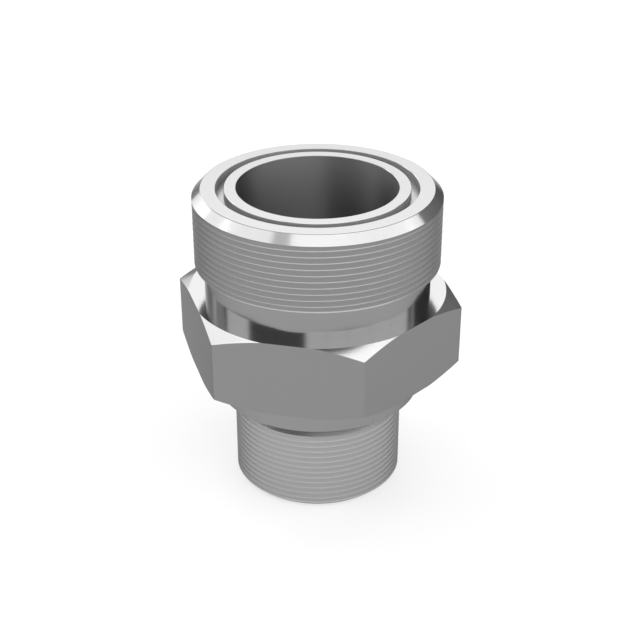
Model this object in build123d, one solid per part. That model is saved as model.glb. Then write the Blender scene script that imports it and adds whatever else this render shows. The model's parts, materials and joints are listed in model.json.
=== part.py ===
from build123d import *

import os
from math import radians, tan

# A straight hydraulic adapter, machined from hexagon bar as one piece: a large male end that seals on
# its grooved face, a hexagon for the wrench, and a smaller male stud end below it.
# Millimetres. The axis is Z, the stud end stands on Z = 0, and two corners of the hexagon point along X.

# Stud end
stud_thread_diameter = 35.7
stud_thread_length = 17.6
stud_end_chamfer = 0.9
stud_relief_diameter = 32.8
stud_relief_length = 3.6

# Round collar under the hexagon, which seats on the port
collar_diameter = 43.1
collar_length = 6.35

# Hexagon
hex_across_flats = 52.4
hex_length = 15.9
hex_chamfer_circle = 53.4
hex_chamfer_angle = 26

# Neck between the hexagon and the large thread
neck_diameter = 46.8
neck_length = 6.95

# Face-seal end
face_thread_diameter = 50.6
face_thread_length = 13.8
face_chamfer = 1.7
groove_outer_diameter = 41.0
groove_width = 1.7
groove_depth = 1.95

# Bore: the wide stretch runs down from the face and closes in a cone onto the narrow one
face_bore_diameter = 32.8
face_bore_depth = 32.0
stud_bore_diameter = 26.0
bore_step_angle = 118
stud_bore_chamfer = 0.5

# Heights of the shoulders, from the stud's end up
relief_bottom = stud_thread_length
collar_bottom = relief_bottom + stud_relief_length
hex_bottom = collar_bottom + collar_length
hex_top = hex_bottom + hex_length
face_thread_bottom = hex_top + neck_length
face_chamfer_bottom = face_thread_bottom + face_thread_length
face = face_chamfer_bottom + face_chamfer


def turned(*outline):
    """Turn the half section with these corners, each a radius and a height, about the axis."""
    return revolve(Plane.XZ * make_face(Polyline(*outline, close=True)), Axis.Z)


def stud_end():
    """The small threaded stud: chamfered at its end, and relieved where its thread runs out."""
    thread = stud_thread_diameter / 2
    relief = stud_relief_diameter / 2
    shoulder = thread - relief
    return turned(
        (0, 0),
        (thread - stud_end_chamfer, 0),
        (thread, stud_end_chamfer),
        (thread, relief_bottom),
        (relief, relief_bottom + shoulder),
        (relief, collar_bottom),
        (0, collar_bottom),
    )


def collar():
    """The round collar whose lower face meets the port."""
    return turned(
        (0, collar_bottom),
        (collar_diameter / 2, collar_bottom),
        (collar_diameter / 2, hex_bottom),
        (0, hex_bottom),
    )


def hexagon():
    """The hexagon, whose corners are turned off by one cone at each end.

    Each cone starts on the chamfer circle of its end face, which is wider than the flats, so the
    cones bite only into the corners. They meet at mid-height, well outside the metal.
    """
    circle = hex_chamfer_circle / 2
    half = hex_length / 2
    apex = circle + half / tan(radians(hex_chamfer_angle))
    bar = extrude(RegularPolygon(hex_across_flats / 2, 6, major_radius=False), hex_length)
    cones = turned(
        (0, hex_bottom),
        (circle, hex_bottom),
        (apex, hex_bottom + half),
        (circle, hex_top),
        (0, hex_top),
    )
    return Pos(0, 0, hex_bottom) * bar & cones


def neck():
    """The plain neck that the nut of the mating line clears."""
    return turned(
        (0, hex_top),
        (neck_diameter / 2, hex_top),
        (neck_diameter / 2, face_thread_bottom),
        (0, face_thread_bottom),
    )


def face_seal_end():
    """The large threaded end, chamfered down to its flat sealing face."""
    thread = face_thread_diameter / 2
    return turned(
        (0, face_thread_bottom),
        (thread, face_thread_bottom),
        (thread, face_chamfer_bottom),
        (thread - face_chamfer, face),
        (0, face),
    )


def seal_groove():
    """The square groove in the face that holds the seal ring."""
    outer = groove_outer_diameter / 2
    inner = outer - groove_width
    floor = face - groove_depth
    return turned((inner, floor), (outer, floor), (outer, face), (inner, face))


def through_bore():
    """The stepped bore, from the chamfered mouth in the stud's end to the face."""
    wide = face_bore_diameter / 2
    narrow = stud_bore_diameter / 2
    step_top = face - face_bore_depth
    step_bottom = step_top - (wide - narrow) / tan(radians(bore_step_angle / 2))
    return turned(
        (0, 0),
        (narrow + stud_bore_chamfer, 0),
        (narrow, stud_bore_chamfer),
        (narrow, step_bottom),
        (wide, step_top),
        (wide, face),
        (0, face),
    )


adapter = stud_end() + collar() + hexagon() + neck() + face_seal_end()
adapter -= seal_groove()
adapter -= through_bore()
adapter.label = "adapter_body"

os.makedirs("parts", exist_ok=True)
export_step(adapter, "parts/adapter_body.step")
print("overall height", round(face, 2), "volume", round(adapter.volume), "mm3")
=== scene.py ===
"""Dresses a straight hydraulic adapter fitting, machined from hexagon bar, and stands it in a studio.

The fitting is one closed piece: its turned rings and its hexagon are laid out here in mesh code, and
both threads are cut by one Geometry Nodes tree. Lengths are metres unless a name ends in _MM.
"""

import json
from math import acos, atan2, ceil, cos, hypot, pi, radians, sin, sqrt, tan

import bmesh
import bpy
from bpy.props import FloatProperty, PointerProperty, StringProperty
from mathutils import Matrix, Vector


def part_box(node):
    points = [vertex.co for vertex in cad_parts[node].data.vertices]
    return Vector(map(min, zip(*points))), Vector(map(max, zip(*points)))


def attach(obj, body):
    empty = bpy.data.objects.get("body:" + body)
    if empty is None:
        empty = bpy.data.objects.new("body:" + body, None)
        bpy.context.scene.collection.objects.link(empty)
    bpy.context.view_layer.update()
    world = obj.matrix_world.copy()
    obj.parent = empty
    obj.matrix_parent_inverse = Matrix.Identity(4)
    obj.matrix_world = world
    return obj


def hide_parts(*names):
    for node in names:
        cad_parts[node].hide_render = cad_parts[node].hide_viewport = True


bl_info = {
    "name": "Straight Adapter Fitting",
    "version": (1, 0, 0),
    "blender": (4, 5, 0),
    "location": "View3D > Sidebar > Adapter",
    "description": "Machines a straight adapter fitting and stands it in a plain studio",
    "category": "Object",
}

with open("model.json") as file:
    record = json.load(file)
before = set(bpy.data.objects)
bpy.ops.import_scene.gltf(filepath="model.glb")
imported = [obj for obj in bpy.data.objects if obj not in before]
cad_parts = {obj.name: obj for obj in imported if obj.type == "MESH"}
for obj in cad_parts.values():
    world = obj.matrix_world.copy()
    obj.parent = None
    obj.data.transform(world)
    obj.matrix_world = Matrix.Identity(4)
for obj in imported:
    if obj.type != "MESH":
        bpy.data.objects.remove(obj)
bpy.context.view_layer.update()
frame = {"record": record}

MM = 0.001
NODE = "adapter_body"
PIECE = "machined_adapter"
LOW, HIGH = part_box(NODE)
MOUNTS = {mount["name"]: mount for mount in frame["record"]["mounts"]}

# Mesh resolution: columns round the axis, rows in each turn of thread, and steps along a hexagon
# corner's rounding and along each side of its chamfer
SEGMENTS = 288
ROWS_PER_TURN = 8
CORNER_STEPS = 4
CHAMFER_STEPS = 9
WELD = 1e-6

# Edges that bend more than this are drawn sharp; the thread's own crests are gentler than its limit.
SHARP_ANGLE = radians(20)
THREAD_SHARP_ANGLE = radians(60)

# The thread's grid starts this many turns low and has this many turns to spare, so that every
# column of it runs past both ends of the thread.
LEAD_TURNS = 2.0
SPARE_TURNS = 3.0

# Turns over which the thread's cut fades out at each end
THREAD_FADE_TURNS = 0.25

# The hexagon has six corners, so half of one flat spans this angle.
HALF_FLAT = pi / 6

# Tool marks in millimetres: how far apart they are, and how deep. A real finishing feed is about
# 0.1 mm, which is too fine for the render to show, so the marks are drawn two to four times coarser.
TURNED_FEED_MM = 0.35
TURNED_MARK_MM = 0.0012
GROOVE_FEED_MM = 0.4
GROOVE_MARK_MM = 0.001
THREAD_FEED_MM = 0.2
THREAD_MARK_MM = 0.0005
DIE_STREAK_MM = 0.5
DIE_STREAK_LENGTH_MM = 12
DIE_MARK_MM = 0.0015

# Marks run along the radius on faces and along the height on walls. The radius counts more, so
# that a 45 degree chamfer, where one falls as the other rises, keeps its marks too.
RADIUS_SHARE = 1.3

# Plated steel mirrors less at grazing angles than an ideal metal does.
EDGE_TINT = "#B0B0B0"

# The rougher plating inside the bore and the groove scatters some of its light like a matt film.
BORE_METALLIC = 0.95
GROOVE_METALLIC = 0.75

# How far the bore's marks stretch a reflection, and the quarter turn that makes them stretch it
# across themselves
BORE_STRETCH = 0.8
QUARTER_TURN = 0.25

# The fitting's finishes, in the order of its material slots
TURNED, DRAWN, THREADED, BORED, GROOVED, STUD_THREADED = range(6)


def mount_radius(name):
    """Radius of a round mount."""
    return MOUNTS[name]["dims"]["r_mm"] * MM


def mount_span(name):
    """Lowest and highest point of a round mount's wall."""
    middle = MOUNTS[name]["pos_m"][2]
    half = MOUNTS[name]["dims"]["length_mm"] * MM / 2
    return middle - half, middle + half


def length(name, description, default):
    """A length that a user may change."""
    return FloatProperty(
        name=name,
        description=description,
        default=default,
        unit="LENGTH",
        subtype="DISTANCE",
        precision=5,
    )


def angle(name, description, degrees):
    """An angle that a user may change."""
    return FloatProperty(name=name, description=description, default=radians(degrees), subtype="ANGLE")


def share(name, description, default):
    """A share from 0 to 1 that a user may change."""
    return FloatProperty(
        name=name, description=description, default=default, min=0, max=1, subtype="FACTOR"
    )


class AdapterSizes(bpy.types.PropertyGroup):
    """Sizes of the turned body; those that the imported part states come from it."""

    across_flats: length("Across flats", "Hexagon across flats", HIGH.y - LOW.y)
    chamfer_circle: length(
        "Chamfer circle", "Diameter at which the hexagon's chamfers start", 53.4 * MM
    )
    chamfer_angle: angle("Chamfer angle", "Slope of the hexagon's chamfers below its end faces", 26)
    corner_radius: length("Corner radius", "Rounding of the drawn bar's corners", 0.25 * MM)
    hex_length: length("Hexagon length", "Length of the hexagon along the axis", 15.9 * MM)
    neck_diameter: length("Neck", "Diameter of the neck above the hexagon", 46.8 * MM)
    neck_length: length("Neck length", "From the hexagon up to the large thread", 6.95 * MM)
    collar_diameter: length("Collar", "Diameter of the round collar under the hexagon", 43.1 * MM)
    collar_seat: length(
        "Collar seat", "Height of the collar's lower face", MOUNTS["collar_seat"]["pos_m"][2]
    )
    relief_diameter: length("Relief", "Diameter of the relief above the stud thread", 32.8 * MM)
    groove_outer: length("Groove outside", "Outer diameter of the groove in the face", 41.0 * MM)
    groove_width: length("Groove width", "Width of the groove in the face", 1.7 * MM)
    groove_depth: length("Groove depth", "Depth of the groove in the face", 1.95 * MM)
    edge_break: length(
        "Edge break", "Width of the break on the edges of the face, groove, seat and stud end", 0.06 * MM
    )


class ThreadSizes(bpy.types.PropertyGroup):
    """Sizes of one thread."""

    pitch: length("Pitch", "Distance from crest to crest", 1.29 * MM)
    depth: length("Depth", "Depth of the thread below its crest", 0.13 * MM)
    root: share("Root", "Where the root lies between two crests", 0.35)
    start: FloatProperty(
        name="Start",
        description="Where the first crest begins, from -1 to 0 turns",
        default=0.0,
        min=-1,
        max=0,
    )


class FinishColours(bpy.types.PropertyGroup):
    """Colours as sRGB hex values, and how rough each finish is."""

    plating: StringProperty(
        name="Plating", description="Colour of the plated steel", default="#8D8D8D"
    )
    flat_plating: StringProperty(
        name="Flats", description="Colour of the plating on the hexagon's flats", default="#878787"
    )
    thread_plating: StringProperty(
        name="Thread", description="Colour of the plating on the large thread", default="#878787"
    )
    # Painted light: the stud thread's plating is lighter than the large thread's only to brighten it; the
    # real plating is the same
    stud_plating_painted_lighter: StringProperty(
        name="Stud thread", description="Colour of the plating on the stud thread", default="#A0A0A0"
    )
    # Painted light: the groove's plating is paler than the rest, to lift the shade inside the groove
    groove_plating_painted_light: StringProperty(
        name="Groove", description="Colour of the plating in the face groove", default="#A8A8A8"
    )
    # Painted shade: the bore and the relief get a darker plating than the rest, for the shade inside them
    bore_plating_painted_shade: StringProperty(
        name="Bore", description="Colour of the plating in the bore and the relief", default="#7A7A7A"
    )
    floor: StringProperty(
        name="Floor", description="Colour of the studio floor", default="#D2D2D2"
    )
    card: StringProperty(
        name="Card", description="Colour of the card that darkens a reflection", default="#909090"
    )
    turned_roughness: share("Turned roughness", "Roughness of the turned faces", 0.14)
    drawn_roughness: share("Drawn roughness", "Roughness of the hexagon's flats", 0.2)
    thread_roughness: share("Thread roughness", "Roughness of both threads", 0.22)
    groove_roughness: share("Groove roughness", "Roughness of the face groove", 0.4)
    bored_roughness: share("Bored roughness", "Roughness of the bore and the relief", 0.42)


class StudioSettings(bpy.types.PropertyGroup):
    """Where the camera stands and how it sees the fitting."""

    azimuth: angle("Azimuth", "Camera's turn round the fitting", 12.85)
    elevation: angle("Elevation", "Camera's angle above the horizon", 28.39)
    distance: length("Distance", "From the camera to the point it looks at", 272.6 * MM)
    aim_height: length("Aim height", "Height of the point that the camera looks at", 35.29 * MM)
    aim_right: length("Aim right", "How far right of the axis the camera looks", 0.49 * MM)
    focal_length: FloatProperty(
        name="Focal length",
        description="Lens for a sensor 36 mm wide, in millimetres",
        default=72.52,
        unit="CAMERA",
    )


def linear(hex_colour):
    """An sRGB hex colour as linear RGBA, by the standard curve."""
    parts = [int(hex_colour[i:i + 2], 16) / 255 for i in (1, 3, 5)]
    return [c / 12.92 if c <= 0.04045 else ((c + 0.055) / 1.055) ** 2.4 for c in parts] + [1.0]


def add(tree, kind, inputs=None, **settings):
    """Add one node to a tree, set it up, fill or link its inputs, and return it."""
    node = tree.nodes.new(kind)
    for name, value in settings.items():
        setattr(node, name, value)
    for key, value in (inputs or {}).items():
        if isinstance(value, bpy.types.NodeSocket):
            tree.links.new(value, node.inputs[key])
        else:
            node.inputs[key].default_value = value
    return node


def metal(name, colour, roughness, metallic=1.0):
    """A metal material, its node tree and its shader."""
    material = bpy.data.materials.new(name)
    material.use_nodes = True
    tree = material.node_tree
    shader = tree.nodes["Principled BSDF"]
    shader.inputs["Base Color"].default_value = linear(colour)
    shader.inputs["Metallic"].default_value = metallic
    shader.inputs["Roughness"].default_value = roughness
    shader.inputs["Specular Tint"].default_value = linear(EDGE_TINT)
    return material, tree, shader


def mark(tree, shader, pattern, depth_mm):
    """Press a pattern from 0 to 1 into the surface, this deep."""
    bump = add(
        tree,
        "ShaderNodeBump",
        {"Height": pattern, "Strength": 1.0, "Distance": depth_mm * MM},
    )
    tree.links.new(bump.outputs[0], shader.inputs["Normal"])


def turned_steel(name, colour, roughness, feed_mm, depth_mm, metallic=1.0):
    """Zinc-plated steel as the lathe left it, with rings one feed apart round the axis."""
    material, tree, shader = metal(name, colour, roughness, metallic)
    place = add(tree, "ShaderNodeTexCoord").outputs["Object"]
    flat = add(tree, "ShaderNodeVectorMath", {0: place, 1: (1, 1, 0)}, operation="MULTIPLY")
    radius = add(tree, "ShaderNodeVectorMath", {0: flat.outputs[0]}, operation="LENGTH").outputs["Value"]
    height = add(tree, "ShaderNodeSeparateXYZ", {0: place}).outputs["Z"]
    along = add(
        tree, "ShaderNodeMath", {0: radius, 1: RADIUS_SHARE, 2: height}, operation="MULTIPLY_ADD"
    )
    feeds = add(
        tree, "ShaderNodeMath", {0: along.outputs[0], 1: 1 / (feed_mm * MM)}, operation="MULTIPLY"
    )
    rings = add(
        tree,
        "ShaderNodeTexNoise",
        {"W": feeds.outputs[0], "Scale": 1.0, "Detail": 1.0},
        noise_dimensions="1D",
    )
    mark(tree, shader, rings.outputs[0], depth_mm)
    return material


def bored_steel(name, colour, roughness):
    """Zinc-plated steel inside a bore, whose ring marks stretch each reflection along the axis."""
    material, tree, shader = metal(name, colour, roughness, BORE_METALLIC)
    shader.inputs["Anisotropic"].default_value = BORE_STRETCH
    shader.inputs["Anisotropic Rotation"].default_value = QUARTER_TURN
    around = add(tree, "ShaderNodeTangent", direction_type="RADIAL", axis="Z")
    tree.links.new(around.outputs[0], shader.inputs["Tangent"])
    return material


def drawn_steel(name, colour, roughness, streak_mm, streak_length_mm, depth_mm):
    """Zinc-plated steel as the die left it, with streaks along the bar."""
    material, tree, shader = metal(name, colour, roughness)
    place = add(tree, "ShaderNodeTexCoord").outputs["Object"]
    across = 1 / (streak_mm * MM)
    along = 1 / (streak_length_mm * MM)
    stretched = add(
        tree, "ShaderNodeMapping", {"Vector": place, "Scale": (across, across, along)}
    )
    streaks = add(
        tree, "ShaderNodeTexNoise", {"Vector": stretched.outputs[0], "Scale": 1.0, "Detail": 2.0}
    )
    mark(tree, shader, streaks.outputs[0], depth_mm)
    return material


def plate(finish):
    """The fitting's materials, in the order of its finishes."""
    return [
        # Turned with a fine feed: almost a mirror, which its rings soften to a satin line
        turned_steel(
            "Zinc-plated steel, turned",
            finish.plating,
            finish.turned_roughness,
            TURNED_FEED_MM,
            TURNED_MARK_MM,
        ),
        # Left as the bar was drawn: even and grey, with faint upright streaks
        drawn_steel(
            "Zinc-plated steel, drawn flats",
            finish.flat_plating,
            finish.drawn_roughness,
            DIE_STREAK_MM,
            DIE_STREAK_LENGTH_MM,
            DIE_MARK_MM,
        ),
        # Cut in several passes: smooth flanks that show as fine light and dark lines
        turned_steel(
            "Zinc-plated steel, cut thread",
            finish.thread_plating,
            finish.thread_roughness,
            THREAD_FEED_MM,
            THREAD_MARK_MM,
        ),
        # Bored or relieved out of the light: its plating is painted darker, as painted shade in the bore
        # and under the collar, with soft bands along the axis
        bored_steel("Zinc-plated steel, bored, painted shade", finish.bore_plating_painted_shade, finish.bored_roughness),
        # Plunged with a form tool: dull, and its plating painted paler as painted light that lifts the
        # shade in the groove
        turned_steel(
            "Zinc-plated steel, grooved, painted light",
            finish.groove_plating_painted_light,
            finish.groove_roughness,
            GROOVE_FEED_MM,
            GROOVE_MARK_MM,
            GROOVE_METALLIC,
        ),
        # Cut as the large thread is; its plating is painted a little lighter, as painted light for the
        # brighter look of the stud, though the real plating is the same as on the large thread
        turned_steel(
            "Zinc-plated steel, cut stud thread, painted lighter",
            finish.stud_plating_painted_lighter,
            finish.thread_roughness,
            THREAD_FEED_MM,
            THREAD_MARK_MM,
        ),
    ]


def thread_tree():
    """The node tree that cuts one right-hand thread between two plain ends.

    A grid is wrapped round the axis with its rows climbing one pitch a turn, so each crest lies on a
    row of its own. From a crest upwards the wall falls steeply into the root and then swells slowly to
    the next crest. Near both ends the cut fades out, so that it starts and ends on a true circle.
    """
    tree = bpy.data.node_groups.new("Cut thread", "GeometryNodeTree")
    tree.interface.new_socket("Geometry", in_out="OUTPUT", socket_type="NodeSocketGeometry")
    for name in ("Crest Radius", "Depth", "Pitch", "Bottom", "Top", "Start", "Root", "Fade"):
        tree.interface.new_socket(name, in_out="INPUT", socket_type="NodeSocketFloat")
    for name in ("Segments", "Rows per Turn"):
        tree.interface.new_socket(name, in_out="INPUT", socket_type="NodeSocketInt")
    tree.interface.new_socket("Material", in_out="INPUT", socket_type="NodeSocketMaterial")
    given = add(tree, "NodeGroupInput").outputs

    def value(operation, *inputs):
        """The result of one sum."""
        return add(tree, "ShaderNodeMath", dict(enumerate(inputs)), operation=operation).outputs[0]

    span = value("SUBTRACT", given["Top"], given["Bottom"])
    turns = value("ADD", value("CEIL", value("DIVIDE", span, given["Pitch"])), SPARE_TURNS)
    rows = value("ADD", value("MULTIPLY", turns, given["Rows per Turn"]), 1.0)
    columns = value("ADD", given["Segments"], 1.0)
    grid = add(
        tree,
        "GeometryNodeMeshGrid",
        {"Size X": 1.0, "Size Y": 1.0, "Vertices X": columns, "Vertices Y": rows},
    )

    # Turns round the axis and turns climbed at each point of the grid, which is centred on 0
    place = add(tree, "GeometryNodeInputPosition").outputs[0]
    place = add(tree, "ShaderNodeSeparateXYZ", {0: place}).outputs
    around = value("ADD", place["X"], 0.5)
    climbed = value("MULTIPLY", value("ADD", place["Y"], 0.5), turns)

    # The height, held at both ends of the thread
    offset = value("SUBTRACT", value("ADD", around, given["Start"]), LEAD_TURNS)
    free = value("MULTIPLY_ADD", value("ADD", climbed, offset), given["Pitch"], given["Bottom"])
    height = value("MINIMUM", value("MAXIMUM", free, given["Bottom"]), given["Top"])

    # The cut at this place in the pitch: two half parabolas that meet at the root
    risen = value("DIVIDE", value("SUBTRACT", height, given["Bottom"]), given["Pitch"])
    turn = value("FRACT", value("SUBTRACT", value("SUBTRACT", risen, around), given["Start"]))
    before = value("SUBTRACT", 1.0, value("DIVIDE", turn, given["Root"]))
    past_root = value("SUBTRACT", turn, given["Root"])
    after = value("DIVIDE", past_root, value("SUBTRACT", 1.0, given["Root"]))
    shy = value("MAXIMUM", before, after)
    hollow = value("SUBTRACT", 1.0, value("MULTIPLY", shy, shy))

    # The cut fades out towards the nearest end
    to_top = value("SUBTRACT", given["Top"], height)
    to_bottom = value("SUBTRACT", height, given["Bottom"])
    nearest = value("MINIMUM", to_top, to_bottom)
    faded = value("MINIMUM", value("DIVIDE", nearest, given["Fade"]), 1.0)
    cut = value("MULTIPLY", value("MULTIPLY", hollow, faded), given["Depth"])
    wall = value("SUBTRACT", given["Crest Radius"], cut)

    heading = value("MULTIPLY", around, 2 * pi)
    spot = add(
        tree,
        "ShaderNodeCombineXYZ",
        {
            "X": value("MULTIPLY", wall, value("COSINE", heading)),
            "Y": value("MULTIPLY", wall, value("SINE", heading)),
            "Z": height,
        },
    )
    wrapped = add(
        tree, "GeometryNodeSetPosition", {"Geometry": grid.outputs[0], "Position": spot.outputs[0]}
    )
    welded = add(
        tree, "GeometryNodeMergeByDistance", {"Geometry": wrapped.outputs[0], "Distance": WELD}
    )
    real = add(tree, "GeometryNodeRealizeInstances", {0: welded.outputs[0]})
    painted = add(
        tree, "GeometryNodeSetMaterial", {"Geometry": real.outputs[0], "Material": given["Material"]}
    )
    add(tree, "NodeGroupOutput", {0: painted.outputs[0]})
    return tree


def cut_thread(name, tree, sizes):
    """Run the thread tree with these sizes and return the plain mesh that it makes."""
    carrier = bpy.data.objects.new(name, bpy.data.meshes.new(name))
    bpy.context.scene.collection.objects.link(carrier)
    modifier = carrier.modifiers.new("Cut thread", "NODES")
    modifier.node_group = tree
    sockets = {
        item.name: item.identifier for item in tree.interface.items_tree if item.in_out == "INPUT"
    }
    for key, size in sizes.items():
        modifier[sockets[key]] = size
    evaluated = carrier.evaluated_get(bpy.context.evaluated_depsgraph_get())
    mesh = bpy.data.meshes.new_from_object(evaluated)
    mesh.name = name
    bpy.data.objects.remove(carrier)
    return mesh


def broken(corners, width):
    """The outline with each corner marked for it cut off at this width on both sides."""
    points = []
    for i, (radius, height, breaks) in enumerate(corners):
        here = Vector((radius, height))
        if not breaks:
            points.append(here)
            continue
        for other in (corners[i - 1], corners[i + 1]):
            there = Vector(other[:2])
            points.append(here + (there - here).normalized() * width)
    return points


def ring(bm, radius, height):
    """One full circle of vertices."""
    return [
        bm.verts.new((radius * cos(2 * pi * i / SEGMENTS), radius * sin(2 * pi * i / SEGMENTS), height))
        for i in range(SEGMENTS)
    ]


def skin(bm, first, second, finish):
    """Faces between two rings of as many vertices; where the rings share one, the face narrows."""
    for i in range(len(first)):
        j = (i + 1) % len(first)
        corners = list(dict.fromkeys((first[i], first[j], second[j], second[i])))
        if len(corners) > 2:
            bm.faces.new(corners).material_index = finish


def heading_of(vert):
    """The angle at which a vertex stands round the axis, from 0 to a full turn."""
    return atan2(vert.co.y, vert.co.x) % (2 * pi)


def zip_rings(bm, first, second, finish):
    """Triangles between two rings that start at the same angle and have different vertex counts."""
    headings_a = [heading_of(vert) for vert in first] + [2 * pi]
    headings_b = [heading_of(vert) for vert in second] + [2 * pi]
    a = b = 0
    while a < len(first) or b < len(second):
        one, other = first[a % len(first)], second[b % len(second)]
        if b == len(second) or (a < len(first) and headings_a[a + 1] <= headings_b[b + 1]):
            a += 1
            bm.faces.new((one, first[a % len(first)], other)).material_index = finish
        else:
            b += 1
            bm.faces.new((one, second[b % len(second)], other)).material_index = finish


def turn_outline(bm, corners, width, finish):
    """Turn an outline of (radius, height, break this corner), and return its first and last ring."""
    rings = [ring(bm, *point) for point in broken(corners, width)]
    for lower, upper in zip(rings, rings[1:]):
        skin(bm, lower, upper, finish)
    return rings[0], rings[-1]


def hexagon_span(sizes):
    """Heights of the hexagon's lower and upper face."""
    top = mount_span("face_seal_thread")[0] - sizes.neck_length
    return top - sizes.hex_length, top


def outlines(sizes):
    """Each turned stretch of the body: its outline of (radius, height, break this corner) and finish."""
    face_crest, stud_crest = mount_radius("face_seal_thread"), mount_radius("stud_thread")
    face_low, face_high = mount_span("face_seal_thread")
    stud_low, stud_high = mount_span("stud_thread")
    wide, narrow = mount_radius("face_seal_bore"), mount_radius("stud_bore")
    step_high = mount_span("face_seal_bore")[0]
    mouth, step_low = mount_span("stud_bore")
    hex_bottom, hex_top = hexagon_span(sizes)
    neck, collar, relief = sizes.neck_diameter / 2, sizes.collar_diameter / 2, sizes.relief_diameter / 2
    groove_out = sizes.groove_outer / 2
    groove_in = groove_out - sizes.groove_width
    groove_floor = HIGH.z - sizes.groove_depth
    width = sizes.edge_break
    below_face = HIGH.z - width
    return {
        "stud_end": (TURNED, [
            (stud_crest, stud_low, False),
            (stud_crest - stud_low, LOW.z, True),
            (narrow + mouth, LOW.z, True),
            (narrow, mouth, False),
        ]),
        "bore": (BORED, [
            (narrow, mouth, False),
            (narrow, step_low, False),
            (wide, step_high, False),
            (wide, below_face, False),
        ]),
        "inner_land": (TURNED, [
            (wide, below_face, False),
            (wide + width, HIGH.z, False),
            (groove_in - width, HIGH.z, False),
            (groove_in, below_face, False),
        ]),
        "groove": (GROOVED, [
            (groove_in, below_face, False),
            (groove_in, groove_floor, False),
            (groove_out, groove_floor, False),
            (groove_out, below_face, False),
        ]),
        "outer_land": (TURNED, [
            (groove_out, below_face, False),
            (groove_out + width, HIGH.z, False),
            (face_crest - (HIGH.z - face_high), HIGH.z, True),
            (face_crest, face_high, False),
        ]),
        "neck": (TURNED, [
            (face_crest, face_low, False),
            (neck, face_low, False),
            (neck, hex_top, False),
        ]),
        "collar": (TURNED, [
            (collar, hex_bottom, False),
            (collar, sizes.collar_seat, True),
            (relief, sizes.collar_seat, False),
        ]),
        # The relief takes the bore's darker plating as painted shade under the collar, which also dims the
        # glints it mirrors
        "relief": (BORED, [
            (relief, sizes.collar_seat, False),
            (relief, stud_high + stud_crest - relief, False),
            (stud_crest, stud_high, False),
        ]),
    }


def corner_arc(inradius, corner_radius):
    """How far out a corner's rounding is centred, and the angle at which it runs into the flat."""
    centre = (inradius - corner_radius) / cos(HALF_FLAT)
    return centre, atan2(corner_radius * sin(HALF_FLAT), centre + corner_radius * cos(HALF_FLAT))


def hexagon_reach(inradius, corner_radius, off):
    """Distance from the axis to the hexagon's outline, this angle off its nearest corner."""
    centre, tangent = corner_arc(inradius, corner_radius)
    if abs(off) < tangent:
        return centre * cos(off) + sqrt(corner_radius**2 - (centre * sin(off)) ** 2)
    return inradius / cos(HALF_FLAT - abs(off))


def hexagon_angles(inradius, circle, corner_radius):
    """Angles off a corner at which the hexagon needs vertices, on both sides of it."""
    tangent = corner_arc(inradius, corner_radius)[1]
    meets = HALF_FLAT - acos(inradius / circle)
    half = [tangent * i / CORNER_STEPS for i in range(CORNER_STEPS)]
    half += [tangent + (meets - tangent) * i / CHAMFER_STEPS for i in range(CHAMFER_STEPS + 1)]
    return [-off for off in reversed(half[1:])] + half


def hexagon(bm, sizes):
    """Both chamfers and the flats; returns the rings where the lower and upper face begin."""
    inradius = sizes.across_flats / 2
    circle = sizes.chamfer_circle / 2
    spots = []
    for corner in range(6):
        for off in hexagon_angles(inradius, circle, sizes.corner_radius):
            reach = hexagon_reach(inradius, sizes.corner_radius, off)
            spots.append(((corner * pi / 3 + off) % (2 * pi), reach))
    spots.sort()

    def hex_rings(height, inward):
        """The ring on the end face, and the one where the chamfer meets the flats."""
        face_ring, flat_ring = [], []
        for heading, reach in spots:
            edge = min(circle, reach)
            drop = max(0.0, reach - circle) * tan(sizes.chamfer_angle)
            face_vert = bm.verts.new((edge * cos(heading), edge * sin(heading), height))
            flat_vert = face_vert
            if drop >= WELD:
                flat_vert = bm.verts.new(
                    (reach * cos(heading), reach * sin(heading), height + inward * drop)
                )
            face_ring.append(face_vert)
            flat_ring.append(flat_vert)
        return face_ring, flat_ring

    bottom, top = hexagon_span(sizes)
    lower_face, lower_flat = hex_rings(bottom, 1)
    upper_face, upper_flat = hex_rings(top, -1)
    skin(bm, lower_face, lower_flat, TURNED)
    skin(bm, lower_flat, upper_flat, DRAWN)
    skin(bm, upper_flat, upper_face, TURNED)
    return lower_face, upper_face


def check_closed(bm):
    """Raise an error where the surface is open."""
    gaps = [edge for edge in bm.edges if not edge.is_manifold]
    if gaps:
        first = gaps[0].verts[0].co
        raise RuntimeError(f"the fitting's surface is open at {len(gaps)} edges, first at {first}")


def shade(bm):
    """Smooth every face, with sharp edges between finishes and at every real corner."""
    for face in bm.faces:
        face.smooth = True
    for edge in bm.edges:
        one, other = (face.material_index for face in edge.link_faces)
        limit = THREAD_SHARP_ANGLE if one in (THREADED, STUD_THREADED) else SHARP_ANGLE
        edge.smooth = one == other and edge.calc_face_angle(0.0) < limit


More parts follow.
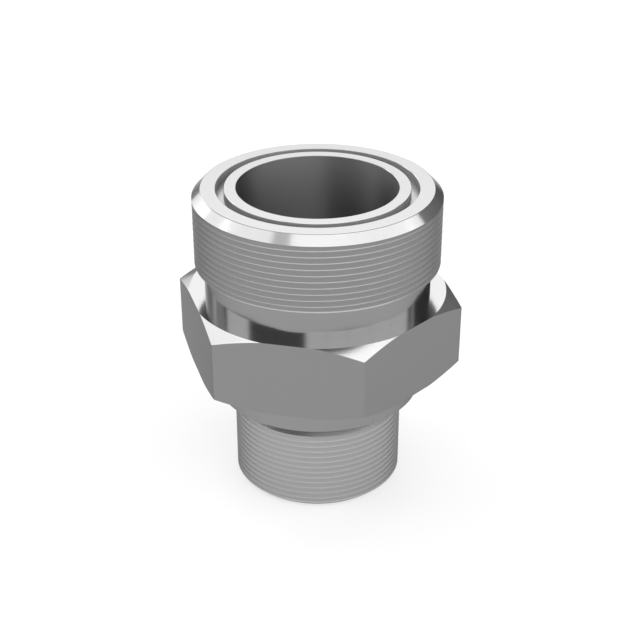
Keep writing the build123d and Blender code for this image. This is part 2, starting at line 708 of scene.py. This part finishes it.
class ADAPTER_OT_machine(bpy.types.Operator):
    """Turn the body, cut both threads and plate the fitting"""

    bl_idname = "adapter.machine"
    bl_label = "Machine the fitting"

    def execute(self, context):
        scene = context.scene
        sizes = scene.adapter_sizes
        materials = plate(scene.adapter_finish)

        bm = bmesh.new()
        ends = {
            name: turn_outline(bm, corners, sizes.edge_break, finish)
            for name, (finish, corners) in outlines(sizes).items()
        }
        lower_face, upper_face = hexagon(bm, sizes)
        zip_rings(bm, ends["neck"][1], upper_face, TURNED)
        zip_rings(bm, ends["collar"][0], lower_face, TURNED)
        self.add_threads(bm, scene, materials)

        bmesh.ops.remove_doubles(bm, verts=bm.verts, dist=WELD)
        check_closed(bm)
        bmesh.ops.recalc_face_normals(bm, faces=bm.faces)
        shade(bm)
        mesh = bpy.data.meshes.new(PIECE)
        bm.to_mesh(mesh)
        bm.free()
        for material in materials:
            mesh.materials.append(material)
        piece = bpy.data.objects.new(PIECE, mesh)
        scene.collection.objects.link(piece)
        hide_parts(NODE)
        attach(piece, "root")
        return {"FINISHED"}

    def add_threads(self, bm, scene, materials):
        """Cut both threads and add their walls to the body."""
        tree = thread_tree()
        for name, thread, finish in (
            ("face_seal_thread", scene.adapter_face_thread, THREADED),
            ("stud_thread", scene.adapter_stud_thread, STUD_THREADED),
        ):
            bottom, top = mount_span(name)
            wall = cut_thread(
                name,
                tree,
                {
                    "Crest Radius": mount_radius(name),
                    "Depth": thread.depth,
                    "Pitch": thread.pitch,
                    "Bottom": bottom,
                    "Top": top,
                    "Start": thread.start,
                    "Root": thread.root,
                    "Fade": thread.pitch * THREAD_FADE_TURNS,
                    "Segments": SEGMENTS,
                    "Rows per Turn": ROWS_PER_TURN,
                    "Material": materials[finish],
                },
            )
            known = len(bm.faces)
            bm.from_mesh(wall)
            bm.faces.ensure_lookup_table()
            for face in bm.faces[known:]:
                face.material_index = finish
            bpy.data.meshes.remove(wall)


class ADAPTER_OT_studio(bpy.types.Operator):
    """Lay the pale floor, hang the softboxes and place the camera"""

    bl_idname = "adapter.studio"
    bl_label = "Set up the studio"

    # Strips of softboxes: name, width in degrees, radiance, and the directions that the strip runs
    # through. A direction is (azimuth, elevation) in degrees from the fitting; azimuth 0 is the
    # picture's right and 90 its back, so that the light keeps its place in the picture.
    STRIPS = (
        # Along the arch that the chamfer round the face mirrors
        ("arch_foot", 8, 2.0, ((123, 4.5), (135, 15))),
        ("arch_left", 11, 2.9, ((135, 15), (147, 24), (160, 33), (175, 42), (-168, 50), (-147, 57.5))),
        ("arch_dim", 11, 1.3, ((-147, 57.5), (-126, 61.5))),
        ("arch_front", 11, 3.05, ((-126, 61.5), (-108, 64), (-90, 64.6), (-59, 62.6), (-33, 57.4))),
        ("arch_right", 11, 3.1, ((-33, 57.4), (-12, 50.2), (5, 42), (20, 33.2), (25, 30))),
        # Behind the fitting, for the lands of the face and the hexagon's upper face
        ("rear", 26, 3.7, ((74, 27), (104, 27))),
        # Along the curve that the hexagon's upper chamfers mirror
        ("wing_foot", 8, 2.4, ((111, 4), (120, 16))),
        ("wing", 12, 3.1, ((120, 16), (128, 27), (133, 35), (138, 43.5), (142, 50), (146, 58), (148, 68))),
        ("top", 12, 3.1, ((148, 68), (141, 79), (91, 84), (40, 79), (32.5, 73), (32, 65), (35, 55))),
        # Round the fitting, for the neck and what it mirrors in the hexagon's upper face
        ("ring_rear", 14, 4.5, ((104, 29), (121, 29))),
        ("ring_wing", 14, 4.5, ((137, 29), (146, 29))),
        ("ring_left", 14, 5.5, ((167, 30), (-162, 30))),
        ("ring_dim", 14, 0.4, ((-162, 31), (-102, 31))),
        ("ring_front", 14, 5.5, ((-102, 31), (-60, 31), (12, 29))),
        # Low round the fitting, for the stud and the thread
        ("skirt", 17, 1.4, ((22, 13), (-242, 13))),
    )
    # The longest softbox in degrees, and how far from the fitting they hang
    PANEL_SPAN = 28
    STRIP_DISTANCE = 0.9
    # Two azimuths of a strip further apart than this meet the short way, across 180 degrees.
    SEAM_STEP = 300

    # The grey card: the azimuths of its two edges, how tall it is, and how far off it stands
    CARD_SPAN = (26, 69)
    CARD_HEIGHT = 0.5
    CARD_DISTANCE = 0.55

    FLOOR_RADIUS = 6.0
    FLOOR_SEGMENTS = 96
    # How much of what is seen of the floor near the fitting is plain white
    FLOOR_GLOW = 0.6
    # Between these distances the floor turns plain white, so it meets the surround without a line.
    FLOOR_FADE = (0.25, 0.9)
    # Paper and card hardly shine.
    MATT_ROUGHNESS = 0.9
    PAPER_SHINE = 0.1

    # The surround's radiance by the sine of its elevation: white low down, dim behind the softboxes
    SURROUND = ((0.2, 1.0), (0.4, 0.22), (0.8, 0.22), (0.95, 0.7))

    SENSOR_MM = 36
    CLIP_START = 0.01
    CLIP_END = 20

    def execute(self, context):
        scene = context.scene
        self.lay_floor(scene)
        self.stand_card(scene)
        self.hang_softboxes(scene)
        self.paint_world(scene)
        self.place_camera(scene)
        scene.view_settings.view_transform = "Standard"
        return {"FINISHED"}

    def matt(self, name, colour):
        """A matt material, its node tree and its shader."""
        material = bpy.data.materials.new(name)
        material.use_nodes = True
        shader = material.node_tree.nodes["Principled BSDF"]
        shader.inputs["Base Color"].default_value = linear(colour)
        shader.inputs["Roughness"].default_value = self.MATT_ROUGHNESS
        return material, material.node_tree, shader

    def floor_paper(self, colour):
        """Uncoated paper, matt and pale, which the eye and the metal see mostly as plain white.

        The white doesn't take the fitting's shadow and the paper does, so a soft shadow is left.
        """
        material, tree, shader = self.matt("Matt paper floor", colour)
        shader.inputs["Specular IOR Level"].default_value = self.PAPER_SHINE
        path = add(tree, "ShaderNodeLightPath").outputs
        seen = add(
            tree,
            "ShaderNodeMath",
            {0: path["Is Camera Ray"], 1: path["Is Glossy Ray"]},
            operation="MAXIMUM",
        )
        seen = add(
            tree,
            "ShaderNodeMath",
            {0: seen.outputs[0], 1: path["Is Transmission Ray"]},
            operation="MAXIMUM",
        )
        place = add(tree, "ShaderNodeTexCoord").outputs["Object"]
        away = add(tree, "ShaderNodeVectorMath", {0: place}, operation="LENGTH").outputs["Value"]
        near, far = self.FLOOR_FADE
        glow = add(
            tree,
            "ShaderNodeMapRange",
            {"Value": away, "From Min": near, "From Max": far, "To Min": self.FLOOR_GLOW, "To Max": 1.0},
            interpolation_type="SMOOTHSTEP",
        )
        part = add(tree, "ShaderNodeMath", {0: seen.outputs[0], 1: glow.outputs[0]}, operation="MULTIPLY")
        white = add(tree, "ShaderNodeEmission", {"Color": (1, 1, 1, 1), "Strength": 1.0})
        mixed = add(
            tree, "ShaderNodeMixShader", {0: part.outputs[0], 1: shader.outputs[0], 2: white.outputs[0]}
        )
        tree.links.new(mixed.outputs[0], tree.nodes["Material Output"].inputs["Surface"])
        return material

    def lay_floor(self, scene):
        """A wide disc of matt paper under the fitting."""
        bm = bmesh.new()
        bmesh.ops.create_circle(
            bm, cap_ends=True, segments=self.FLOOR_SEGMENTS, radius=self.FLOOR_RADIUS
        )
        mesh = bpy.data.meshes.new("studio_floor")
        bm.to_mesh(mesh)
        bm.free()
        mesh.materials.append(self.floor_paper(scene.adapter_finish.floor))
        floor = bpy.data.objects.new("studio_floor", mesh)
        scene.collection.objects.link(floor)

    def toward(self, scene, azimuth, elevation):
        """The direction from the fitting with this azimuth and elevation in the picture."""
        heading = radians(azimuth) + scene.adapter_studio.azimuth
        rise = radians(elevation)
        return Vector((cos(heading) * cos(rise), sin(heading) * cos(rise), sin(rise)))

    def stand_card(self, scene):
        """A grey card beside the fitting, which only its reflections show."""
        left, right = (self.toward(scene, turned, 0) * self.CARD_DISTANCE for turned in self.CARD_SPAN)
        up = Vector((0, 0, self.CARD_HEIGHT))
        mesh = bpy.data.meshes.new("grey_card")
        mesh.from_pydata([left, right, right + up, left + up], [], [(0, 1, 2, 3)])
        mesh.materials.append(self.matt("Matt grey card", scene.adapter_finish.card)[0])
        card = bpy.data.objects.new("grey_card", mesh)
        card.visible_camera = False
        scene.collection.objects.link(card)

    def stations(self, run):
        """The directions at which the run's softboxes meet."""
        spots = [run[0]]
        for (turn_a, rise_a), (turn_b, rise_b) in zip(run, run[1:]):
            if abs(turn_b - turn_a) > self.SEAM_STEP:
                turn_b += 360 if turn_b < turn_a else -360
            middle = cos(radians((rise_a + rise_b) / 2))
            parts = ceil(hypot((turn_b - turn_a) * middle, rise_b - rise_a) / self.PANEL_SPAN)
            for number in range(1, parts + 1):
                done = number / parts
                spots.append((turn_a + (turn_b - turn_a) * done, rise_a + (rise_b - rise_a) * done))
        return spots

    def hang_softboxes(self, scene):
        """Softboxes along each strip, every one facing the fitting."""
        centre = Vector((0, 0, HIGH.z / 2))
        for name, width, radiance, run in self.STRIPS:
            spots = [self.toward(scene, *spot) * self.STRIP_DISTANCE for spot in self.stations(run)]
            for start, end in zip(spots, spots[1:]):
                lamp = bpy.data.lights.new(name, "AREA")
                lamp.shape = "RECTANGLE"
                lamp.size = (end - start).length
                lamp.size_y = 2 * self.STRIP_DISTANCE * tan(radians(width / 2))
                # A softbox of one watt and one square metre shows a radiance of 1 / pi.
                lamp.energy = pi * lamp.size * lamp.size_y * radiance
                facing = (start + end).normalized()
                along = (end - start).normalized()
                box = bpy.data.objects.new(name, lamp)
                box.location = centre + (start + end) / 2
                box.rotation_mode = "QUATERNION"
                axes = Matrix((along, facing.cross(along), facing))
                box.rotation_quaternion = axes.transposed().to_quaternion()
                scene.collection.objects.link(box)

    def paint_world(self, scene):
        """A pale surround that darkens overhead, where the softboxes hang."""
        world = bpy.data.worlds.new("Studio world")
        world.use_nodes = True
        tree = world.node_tree
        heading = add(tree, "ShaderNodeTexCoord").outputs["Generated"]
        height = add(tree, "ShaderNodeSeparateXYZ", {0: heading}).outputs["Z"]
        ramp = add(tree, "ShaderNodeValToRGB", {0: height})
        stops = ramp.color_ramp.elements
        ramp.color_ramp.interpolation = "EASE"
        # A new ramp has two stops already.
        for at, _ in self.SURROUND[2:]:
            stops.new(at)
        for stop, (at, radiance) in zip(stops, self.SURROUND):
            stop.position = at
            stop.color = (radiance, radiance, radiance, 1)
        background = tree.nodes["Background"]
        tree.links.new(ramp.outputs[0], background.inputs["Color"])
        background.inputs["Strength"].default_value = 1.0
        scene.world = world

    def place_camera(self, scene):
        """Stand the camera at the photograph's angle."""
        studio = scene.adapter_studio
        heading, rise = studio.azimuth, studio.elevation
        back = Vector((sin(heading) * cos(rise), -cos(heading) * cos(rise), sin(rise)))
        right = Vector((cos(heading), sin(heading), 0))
        aim = right * studio.aim_right + Vector((0, 0, studio.aim_height))
        data = bpy.data.cameras.new("studio_camera")
        data.lens = studio.focal_length
        data.sensor_width = self.SENSOR_MM
        data.clip_start = self.CLIP_START
        data.clip_end = self.CLIP_END
        camera = bpy.data.objects.new("studio_camera", data)
        camera.location = aim + back * studio.distance
        camera.rotation_euler = (pi / 2 - rise, 0, heading)
        scene.collection.objects.link(camera)
        scene.camera = camera


class ADAPTER_PT_panel(bpy.types.Panel):
    """The fitting's sizes, finishes and steps"""

    bl_idname = "ADAPTER_PT_panel"
    bl_label = "Adapter fitting"
    bl_space_type = "VIEW_3D"
    bl_region_type = "UI"
    bl_category = "Adapter"

    def draw(self, context):
        for setting, group in SETTINGS:
            for name in group.__annotations__:
                self.layout.prop(getattr(context.scene, setting), name)
        for operator in OPERATORS:
            self.layout.operator(operator.bl_idname)


SETTINGS = (
    ("adapter_sizes", AdapterSizes),
    ("adapter_face_thread", ThreadSizes),
    ("adapter_stud_thread", ThreadSizes),
    ("adapter_finish", FinishColours),
    ("adapter_studio", StudioSettings),
)
OPERATORS = (ADAPTER_OT_machine, ADAPTER_OT_studio)
GROUPS = (AdapterSizes, ThreadSizes, FinishColours, StudioSettings)


def register():
    for kind in GROUPS + OPERATORS + (ADAPTER_PT_panel,):
        bpy.utils.register_class(kind)
    for name, group in SETTINGS:
        setattr(bpy.types.Scene, name, PointerProperty(type=group))


def unregister():
    for name, _ in SETTINGS:
        delattr(bpy.types.Scene, name)
    for kind in (ADAPTER_PT_panel,) + OPERATORS + GROUPS:
        bpy.utils.unregister_class(kind)


def main():
    """Register the add-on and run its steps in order."""
    register()
    bpy.ops.adapter.machine()
    bpy.ops.adapter.studio()


if __name__ == "__main__":
    main()
